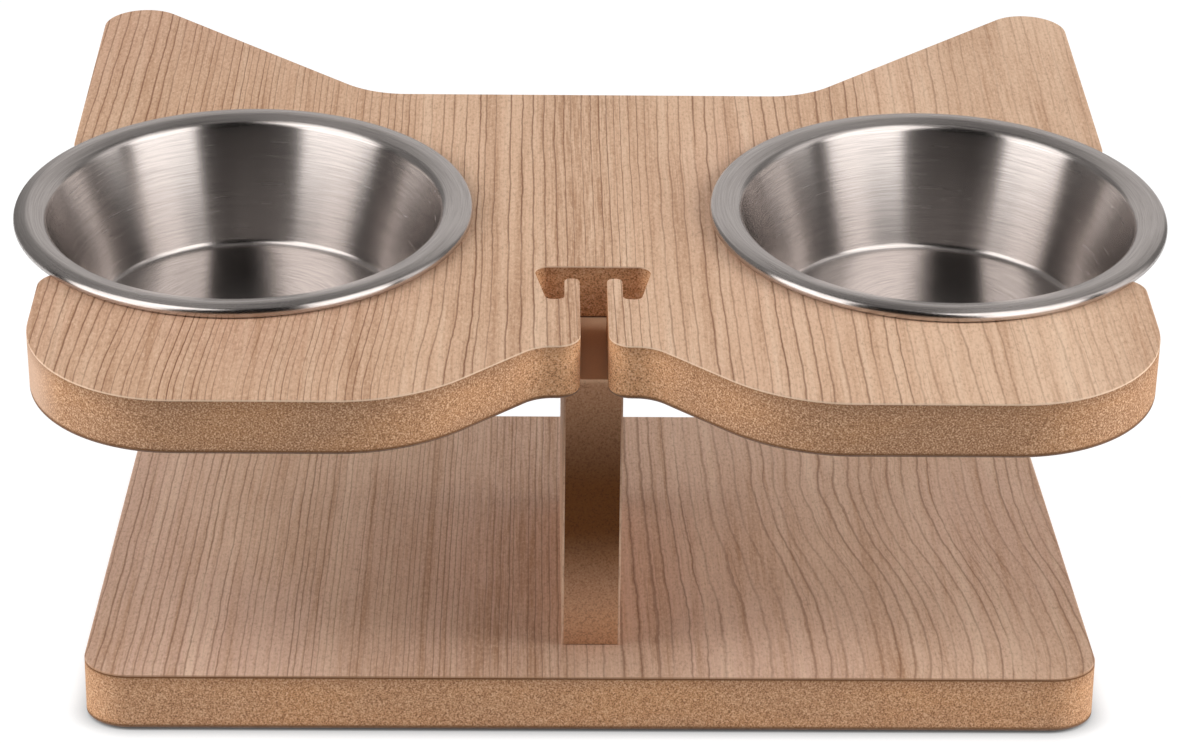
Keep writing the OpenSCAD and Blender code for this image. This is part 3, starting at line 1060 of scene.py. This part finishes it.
@dataclass
class Board:
    """A board of two wood faces on a fibreboard core, sawn to one outline."""

    name: str
    node: str
    outline: Outline
    place: Matrix
    face_height: float
    face: WoodFace
    core: Fibreboard
    backing: WoodFace
    edge: float = 0.3
    flat: float = 0.8
    groove: float = 0.08

    def build(
        self, face_bores: Sequence[Bore], core_bores: Sequence[Bore], under_bores: Sequence[Bore]
    ) -> None:
        """Make the face, the core and the underside.

        Args:
            face_bores: Holes in the face.
            core_bores: Holes in the core.
            under_bores: Holes in the underside.
        """
        top = self.face_height
        bottom = top - BOARD
        rounding = eased(self.edge, self.flat)
        face = [(0.0, top - FACE)] + [(inset, top - drop) for inset, drop in rounding]
        under = [(inset, bottom + drop) for inset, drop in reversed(rounding)] + [(0.0, bottom + FACE)]
        low, high, groove = bottom + FACE, top - FACE, self.groove
        core = [(groove, low), (0.0, low + groove), (0.0, high - groove), (groove, high)]
        name, node = self.name, self.node
        self.layer(f"{name}_face", face, face_bores, self.face, f"{node}_face_veneer")
        self.layer(f"{name}_board", core, core_bores, self.core, f"{node}_core")
        self.layer(f"{name}_underside", under, under_bores, self.backing, f"{node}_underside_veneer")

    def layer(
        self,
        name: str,
        levels: Sequence[tuple[float, float]],
        bores: Sequence[Bore],
        finish: Finish,
        node: str,
    ) -> None:
        """Make one layer of the board, from rings that lie so far in and so high, from the bottom up."""
        rings = [self.outline.ring(inset, height, self.place) for inset, height in levels]
        piece = Bench.layered(name, rings)
        Bench.bore(piece, bores)
        place_piece(Bench.finish(piece), finish, STAND, node)


@dataclass
class Base:
    """The flat base board and the pads under it."""

    wide: float = 312.0
    deep: float = 207.0
    corner: float = 15.0
    front: float = -115.948
    pad: float = 22.0
    pad_chamfer: float = 0.3
    pad_inset: float = 24.0

    def outline(self) -> Outline:
        """Give the base's outline, a rectangle with round corners."""
        half, back = self.wide / 2, self.front + self.deep
        ends = [(-half, self.front), (half, self.front), (half, back), (-half, back)]
        corners = [Corner(x, y, self.corner) for x, y in ends]
        outline = Outline()
        for number, corner in enumerate(corners):
            outline.corner(corners[number - 1], corner, corners[(number + 1) % len(corners)])
        return outline

    def build(self, fixings: Fixings) -> None:
        """Make the board, bored for its fixings."""
        face = WoodFace(
            name="base_wood_face",
            seed=3.7,
            height=BASE_TOP,
            ring=3.1,
            line_wide=0.42,
            line_share=0.66,
            # Painted shadow of the post, on the base left of it.
            streak_and_shadow_at=-22.0,
            streak_and_shadow=0.35,
            drift=9.0,
            wave=1.4,
            crowd=4.0,
            packed=((-100.0, -5.0, 40.0),),
            swing=9.0,
            pale=(222, 187, 161),
            rosy=(217, 180, 158),
            cut=(158, 118, 86),
        )
        core = Fibreboard(
            name="base_fibreboard",
            top=BASE_TOP - FACE,
            upper_joint_shade=0.75,
            lower_joint_shade=0.6,
            brown=(196, 149, 112),
            orange=(203, 152, 110),
        )
        board = Board("base", "base", self.outline(), LEVEL_FRAME, BASE_TOP, face, core, BACKING)
        board.build(fixings.in_base(), fixings.in_base(), fixings.screw_bores())

    def build_pads(self) -> None:
        """Make one pad and copy it to the four corners."""
        radius, chamfer = self.pad / 2, self.pad_chamfer
        turns = (0.0, 0.52, 1.05, 1.571)
        bends = [(radius - chamfer * (1 - math.sin(t)), chamfer * (1 - math.cos(t))) for t in turns]
        section = [(0.0, 0.0), (radius * 0.5, 0.0)] + bends
        section += [(radius, PAD_HEIGHT), (radius * 0.5, PAD_HEIGHT), (0.0, PAD_HEIGHT)]
        first = Bench.finish(Bench.spun("pad", section, SMALL_SPIN))
        across, middle = self.wide / 2 - self.pad_inset, self.front + self.deep / 2
        for end, row in (("front", -1), ("rear", 1)):
            for side in Side:
                corner = f"{end}_{side.name.lower()}"
                pad = Bench.copy(first, f"{corner}_pad")
                spot = Vector((side.value * across, middle + row * (self.deep / 2 - self.pad_inset), 0))
                Bench.set_down(pad, Matrix.Translation(spot * MM))
                place_piece(pad, PAD_RUBBER, STAND, f"{corner}_foot")
        bpy.data.meshes.remove(first.data)


@dataclass
class Post:
    """The upright post, sawn to the top's slope, with covers over its cam locks."""

    TOUCH = 1e-6
    ALONG = 0.9

    deep: float = 110.0
    front: float = -93.948
    edge: float = 0.35
    cap: float = 17.0
    cap_height: float = 1.2
    cap_edge: float = 0.5

    def slice(self, name: str, low_x: float, high_x: float) -> bpy.types.Object:
        """Saw one layer of the post, between two places across the stand."""
        low = Vector((low_x, self.front, BASE_TOP))
        high = Vector((high_x, self.front + self.deep, DISH_LINE.z))
        piece = Bench.block(name, low, high)
        underside = TOP_FRAME @ Vector((0, 0, -BOARD * MM))
        Bench.saw(piece, underside, TOP_FRAME.to_3x3() @ Vector((0, 0, 1)))
        return piece

    def build(self, fixings: Fixings) -> None:
        """Make the core and its two wood faces, bored for their fixings."""
        half, core_half = BOARD / 2, BOARD / 2 - FACE
        core = self.slice("post_board", -core_half, core_half)
        foot = BASE_TOP * MM + self.TOUCH
        Bench.ease(core, lambda at, way: at.z < foot and abs(way.x) > self.ALONG, self.edge, 2)
        upper_bores = fixings.top_dowel_bores() + fixings.bolt_ways() + fixings.pockets()
        Bench.bore(core, fixings.in_base() + upper_bores)
        finish = Fibreboard(
            name="post_fibreboard",
            top=400.0,
            thick=381.4,
            upper_joint_shade=0.0,
            # Painted contact shade at the post's foot.
            lower_joint_shade=0.7,
            # Painted shadow of the top over the post's upper part.
            painted_shadow=1.0,
            grit=0.4,
            # Browns lighter than the other boards': painted light to make up for the shade at the post's
            # foot.
            brown=(213, 164, 129),
            orange=(217, 166, 127),
        )
        place_piece(Bench.finish(core), finish, STAND, "post_core")
        wood = WoodFace(name="post_wood_face", seed=9.1, upright=True)
        for side, start, end in ((Side.LEFT, -half, -core_half), (Side.RIGHT, core_half, half)):
            name = side.name.lower()
            face = self.slice(f"post_{name}_face", start, end)
            outer = side.value * half * MM
            Bench.ease(
                face,
                lambda at, way: abs(at.x - outer) < self.TOUCH and abs(way.z) > self.ALONG,
                self.edge,
            )
            if side is Side.RIGHT:
                Bench.bore(face, fixings.pockets())
            place_piece(Bench.finish(face), wood, STAND, f"post_{name}_veneer")

    def build_covers(self, fixings: Fixings) -> None:
        """Make the covers over the cam locks."""
        radius, bend = self.cap / 2, self.cap_edge
        plug = fixings.cam / 2 - fixings.gap
        turns = [math.pi / 2 * step / 5 for step in range(6)]
        section = [(0.0, -fixings.cam_recess), (plug, -fixings.cam_recess), (plug, 0.0), (radius, 0.0)]
        section += [
            (radius - bend * (1 - math.cos(t)), self.cap_height - bend * (1 - math.sin(t))) for t in turns
        ]
        section += [(radius * 0.6, self.cap_height), (0.0, self.cap_height)]
        first = Bench.spun("cam_covers", section, SMALL_SPIN)
        second = Bench.copy(first, "second_cover")
        for cover, along in zip((first, second), fixings.cams):
            spot = Matrix.Translation(Vector((BOARD / 2, along, -BOARD - fixings.cam_drop)) * MM)
            Bench.set_down(cover, TOP_FRAME @ spot @ Matrix.Rotation(math.pi / 2, 4, "Y"))
        Bench.join(first, [second])
        place_piece(Bench.finish(first), CAP_PLASTIC, STAND, "cam_caps")


@dataclass
class Top:
    """The tilted top: two ears, two dish cut-outs open at the sides, and a nose-shaped slot."""

    wide: float = 339.0
    dish_spacing: float = 220.0
    cutout: float = 63.448
    horn: float = 8.5
    cheek_reach: float = 121.5
    cheek: float = 47.0
    ear_peak: float = 179.317
    ear_tip: float = 14.0
    back_reach: float = 91.2
    valley_x: float = 73.337
    valley: float = 30.0

    def front_corners(self) -> list[Corner]:
        """Give the right half's corners, from the nose round to the cheek."""
        return [
            Corner(18.7, -36.0, 4.0),
            Corner(14.45, -57.7, 2.3),
            Corner(8.85, -57.7, 2.3),
            Corner(8.85, -44.2, 1.9),
            Corner(4.25, -44.2, 1.9),
            Corner(4.25, -87.6, 7.0),
            Corner(17.244, -87.6, 13.0),
            Corner(54.5, -self.cheek_reach, 55.0),
            Corner(self.wide / 2, -self.cheek_reach, self.cheek),
        ]

    def outline(self) -> Outline:
        """Give the top's outline."""
        front = self.front_corners()
        ear = Corner(self.wide / 2, self.ear_peak, self.ear_tip)
        valley = Corner(self.valley_x, self.back_reach, self.valley)
        start = Corner(-front[0].x, front[0].y, 0.0)
        end = Corner(-valley.x, valley.y, 0.0)
        outline = Outline()
        for before, here, after in zip([start] + front[:-1], front, front[1:] + [ear]):
            outline.corner(before, here, after)
        self.cut_dish(outline)
        outline.corner(front[-1], ear, valley)
        outline.corner(ear, valley, end)
        outline.mirror()
        return outline

    def cut_dish(self, outline: Outline) -> None:
        """Walk a horn, the dish's cut-out and the other horn, once the walk has reached the right side."""
        dish_x, horn_x = self.dish_spacing / 2, self.wide / 2 - self.horn
        reach = horn_x - dish_x
        horn_y = math.sqrt((self.cutout + self.horn) ** 2 - reach**2)
        open_angle = math.atan2(horn_y, reach)
        outline.arc(Vector((horn_x, -horn_y)), self.horn, 0.0, math.pi - open_angle)
        outline.arc(Vector((dish_x, 0.0)), self.cutout, -open_angle, 2 * open_angle - 2 * math.pi)
        outline.arc(Vector((horn_x, horn_y)), self.horn, math.pi + open_angle, math.pi - open_angle)

    def build(self, fixings: Fixings) -> None:
        """Make the board, bored for its fixings."""
        face = WoodFace(
            name="top_wood_face",
            seed=1.3,
            tilt=TILT,
            ring=3.6,
            packed=((-150.0, -45.0, 50.0), (-15.0, 20.0, 7.0), (25.0, 170.0, -28.0)),
            plain_and_lit_from=70.0,
            left_tone_and_shade=0.3,
            sway=7.0,
            streak_and_shadow_at=-6.0,
            streak_and_shadow=0.6,
        )
        core = Fibreboard(
            name="top_fibreboard",
            tilt=TILT,
            top=-FACE,
            upper_joint_shade=0.1,
            lower_joint_shade=0.75,
            calm=9.0,
            # Painted light round the slot's mouth.
            nose=0.7,
            # Painted light on the left end of the top's edge.
            left_light_from=155.0,
        )
        board = Board("top", "top", self.outline(), TOP_FRAME, 0.0, face, core, BACKING)
        board.build([], fixings.in_top(), fixings.in_top())


@dataclass
class Dish:
    """A spun steel dish with a broad crowned rim and a turned-down hem."""

    BEND_CHORD = 0.35
    LONGEST = 3.0

    side: Side
    across: float = 110.0
    sheet: float = 0.8
    steps: int = 180
    path: tuple[tuple[float, float, float], ...] = (
        (0.0, -36.7, 0.0),
        (50.5, -36.7, 2.5),
        (62.7, 2.2, 3.2),
        (68.0, 3.7, 6.0),
        (72.5, 2.9, 1.7),
        (72.5, 0.2, 0.9),
        (69.5, 0.2, 0.0),
    )

    def upper(self) -> list[Vector]:
        """Give the sheet's upper side, with its bends rounded."""
        corners = [Corner(*corner) for corner in self.path]
        walk = Outline()
        walk.CHORD = self.BEND_CHORD
        for before, here, after in zip(corners, corners[1:], corners[2:]):
            walk.corner(before, here, after)
        bends = [corners[0].spot] + [spot for spot, _ in walk.spots] + [corners[-1].spot]
        points: list[Vector] = [bends[0]]
        for spot in bends[1:]:
            gap = spot - points[-1]
            count = max(1, math.ceil(gap.length / self.LONGEST))
            begin = points[-1].copy()
            points += [begin + gap * (step / count) for step in range(1, count + 1)]
        return points

    def section(self) -> list[tuple[float, float]]:
        """Give the whole sheet in section, from axis to axis."""
        upper = self.upper()
        lower = []
        for number, point in enumerate(upper):
            before, after = upper[max(number - 1, 0)], upper[min(number + 1, len(upper) - 1)]
            way = (after - before).normalized()
            lower.append(point + Vector((way.y, -way.x)) * self.sheet)
        lower[0].x = 0.0
        return [(point.x, point.y) for point in upper + lower[::-1]]

    def build(self) -> None:
        """Make the dish and set it in the top."""
        name = self.side.name.lower()
        dish = Bench.spun(f"{name}_dish", self.section(), self.steps)
        centre = self.side.value * self.across
        Bench.set_down(dish, TOP_FRAME @ Matrix.Translation((centre * MM, 0, 0)))
        steel = BrushedSteel(name=f"{name}_brushed_steel", centre=centre)
        place_piece(Bench.finish(dish), steel, f"{name}_bowl", f"{name}_bowl")


@dataclass
class Studio:
    """White floor, soft lamps, a tent for the steel to reflect, and the camera."""

    DEGREE = 180 / math.pi
    PANEL_INNER, PANEL_OUTER, PANEL_TOP = (30.0, 35.0), (76.0, 71.0), (74.0, 66.0)
    FLANK_FROM, FLANK_TO = (84.0, 92.0), (150.0, 138.0)
    SECOND_FROM, SECOND_TO = (84.0, 88.0), (120.0, 96.0)
    BACK_FROM, BACK_TOP = (138.0, 150.0), (72.0, 36.0)
    CROWN_FROM = (76.0, 82.0)
    LAMP_AWAY = 1.6
    LAMPS = (
        ("left_low_softbox", -80.0, 20.0, (0.7, 0.7), 15.5),
        ("left_high_softbox", -67.0, 44.0, (0.7, 0.7), 7.5),
        ("right_low_softbox", 80.0, 21.0, (0.7, 0.7), 21.0),
        ("right_high_softbox", 60.0, 44.0, (0.7, 0.7), 3.0),
        ("back_softbox", 180.0, 40.0, (1.2, 0.8), 2.5),
    )

    picture_wide: float = 1182.0
    focal: float = 3630.46
    down: float = 21.8497
    yaw: float = 1.0508
    roll: float = 0.7
    camera_at: tuple[float, float, float] = (-19.5, -1109.14, 517.47)
    ambient: float = 0.12
    floor_light: float = 0.8
    floor_shade: float = 0.25
    floor_glow: float = 0.85
    contact_shadow_reach: float = 0.007
    dim: float = 0.006
    panel: float = 2.1
    flank: float = 0.21
    second: float = 0.85
    tent_radius: float = 0.8
    tent_shift: tuple[float, float, float] = (0.0, 0.02, -0.1)
    tent_turn: float = 7.0
    back: float = 0.62
    crown: float = 0.2
    aim: tuple[float, float, float] = (0.0, -20.0, 100.0)

    def camera(self) -> None:
        """Set up the camera of the picture."""
        down, yaw, roll = (math.radians(angle) for angle in (self.down, self.yaw, self.roll))
        ahead = Vector((math.sin(yaw) * math.cos(down), math.cos(yaw) * math.cos(down), -math.sin(down)))
        level = Vector((math.cos(yaw), -math.sin(yaw), 0.0))
        up = level.cross(ahead)
        right = level * math.cos(roll) + up * math.sin(roll)
        over = up * math.cos(roll) - level * math.sin(roll)
        data = bpy.data.cameras.new("camera")
        data.sensor_fit = "HORIZONTAL"
        data.sensor_width = 36.0
        data.lens = self.focal * data.sensor_width / self.picture_wide
        data.clip_end = 50.0
        camera = bpy.data.objects.new("camera", data)
        bpy.context.scene.collection.objects.link(camera)
        turn = Matrix((right, over, -ahead)).transposed().to_4x4()
        camera.matrix_world = Matrix.Translation(Vector(self.camera_at) * MM) @ turn
        bpy.context.scene.camera = camera

    def world(self) -> None:
        """Make the world white to look at and softer as a light."""
        world = bpy.data.worlds.new("studio")
        world.use_nodes = True
        bpy.context.scene.world = world
        shader = Shader(world.node_tree)
        strength = self.ambient + shader.seen() * (1.0 - self.ambient)
        sockets = {"Color": (1, 1, 1, 1), "Strength": strength}
        shader.surface(shader.make("ShaderNodeBackground", None, sockets))

    def floor(self) -> None:
        """Lay the white floor, which keeps the stand's shadow, with a painted contact shadow."""
        Bench.clear()
        bpy.ops.mesh.primitive_plane_add(size=16.0)
        floor = Bench.named("floor")
        material, shader = new_material("white_floor")
        plain, shade = (
            shader.make("ShaderNodeBsdfDiffuse", None, {"Color": (grey, grey, grey, 1)})
            for grey in (self.floor_light, self.floor_shade)
        )
        # The glow fades where the stand is within a few millimetres: a painted contact shadow under and round
        # it.
        near = {"Distance": self.contact_shadow_reach}
        open_sky = shader.make("ShaderNodeAmbientOcclusion", {"samples": 16}, near, "AO")
        sockets = {"Color": (1, 1, 1, 1), "Strength": open_sky * self.floor_glow}
        glow = shader.make("ShaderNodeEmission", None, sockets)
        lit = shader.make("ShaderNodeAddShader", None, {0: shade, 1: glow})
        shader.surface(shader.make("ShaderNodeMixShader", None, {0: shader.seen(), 1: plain, 2: lit}))
        floor.data.materials.append(material)

    def tent(self) -> None:
        """Hang a tent that only gloss sees: bright panels with dark gaps, as the steel shows them."""
        Bench.clear()
        bpy.ops.mesh.primitive_uv_sphere_add(segments=96, ring_count=48, radius=self.tent_radius)
        tent = Bench.named("reflection_tent")
        Bench.saw(tent, Vector((0, 0, 0)), Vector((0, 0, -1)))
        material, shader = new_material("tent_cloth")
        x, y, z = shader.parts(shader.place(shift=self.tent_shift))
        turn = shader.maths("ARCTAN2", x, y * -1.0) * self.DEGREE + self.tent_turn
        level = shader.maths("SQRT", x * x + y * y)
        height = shader.maths("ARCTAN2", z, level) * self.DEGREE
        round_about = shader.maths("ABSOLUTE", turn)
        inner, outer = round_about + height * 0.06, round_about - height * 0.2
        panel = shader.rise(inner, *self.PANEL_INNER) * shader.rise(outer, *self.PANEL_OUTER)
        panel = panel * shader.rise(height, *self.PANEL_TOP)
        flank = shader.rise(round_about, *self.FLANK_FROM) * shader.rise(round_about, *self.FLANK_TO)
        second = shader.rise(turn, *self.SECOND_FROM) * shader.rise(turn, *self.SECOND_TO)
        back = shader.rise(round_about, *self.BACK_FROM) * shader.rise(height, *self.BACK_TOP)
        crown = shader.rise(height, *self.CROWN_FROM)
        glow = self.dim + panel * self.panel + flank * self.flank + back * self.back + crown * self.crown
        glow = glow + second * self.second
        sockets = {"Color": (1.0, 0.97, 0.95, 1), "Strength": glow}
        shader.surface(shader.make("ShaderNodeEmission", None, sockets))
        tent.data.materials.append(material)
        tent.visible_camera = tent.visible_diffuse = tent.visible_shadow = False
        tent.visible_transmission = tent.visible_volume_scatter = False

    def lamp(self, name: str, turn: float, height: float, size: tuple[float, float], watts: float) -> None:
        """Set up a soft lamp that looks at the stand.

        Args:
            name: The lamp's name.
            turn: Degrees round from the front, to the right.
            height: Degrees above the floor.
            size: Its width and height in metres.
            watts: Its power.
        """
        data = bpy.data.lights.new(name, "AREA")
        data.shape = "RECTANGLE"
        data.size, data.size_y = size
        data.energy = watts
        lamp = bpy.data.objects.new(name, data)
        bpy.context.scene.collection.objects.link(lamp)
        turn, height = math.radians(turn), math.radians(height)
        level = math.cos(height)
        way = Vector((math.sin(turn) * level, -math.cos(turn) * level, math.sin(height)))
        lamp.rotation_euler = way.to_track_quat("Z", "Y").to_euler()
        lamp.location = Vector(self.aim) * MM + way * self.LAMP_AWAY
        lamp.visible_glossy = False

    def build(self) -> None:
        """Set up the whole studio."""
        bpy.context.scene.view_settings.view_transform = "Standard"
        self.camera()
        self.world()
        self.floor()
        self.tent()
        for name, turn, height, size, watts in self.LAMPS:
            self.lamp(name, turn, height, size, watts)
        LOG.info("studio set up")


def main() -> None:
    """Build the stand piece by piece and set up the studio."""
    logging.basicConfig(level=logging.INFO, format="%(name)s: %(message)s")
    Studio().build()
    fixings = Fixings()
    base = Base()
    base.build(fixings)
    base.build_pads()
    post = Post()
    post.build(fixings)
    post.build_covers(fixings)
    Top().build(fixings)
    for side in Side:
        Dish(side).build()
    fixings.dress()
    Bench.clear()


if __name__ == "__main__":
    main()
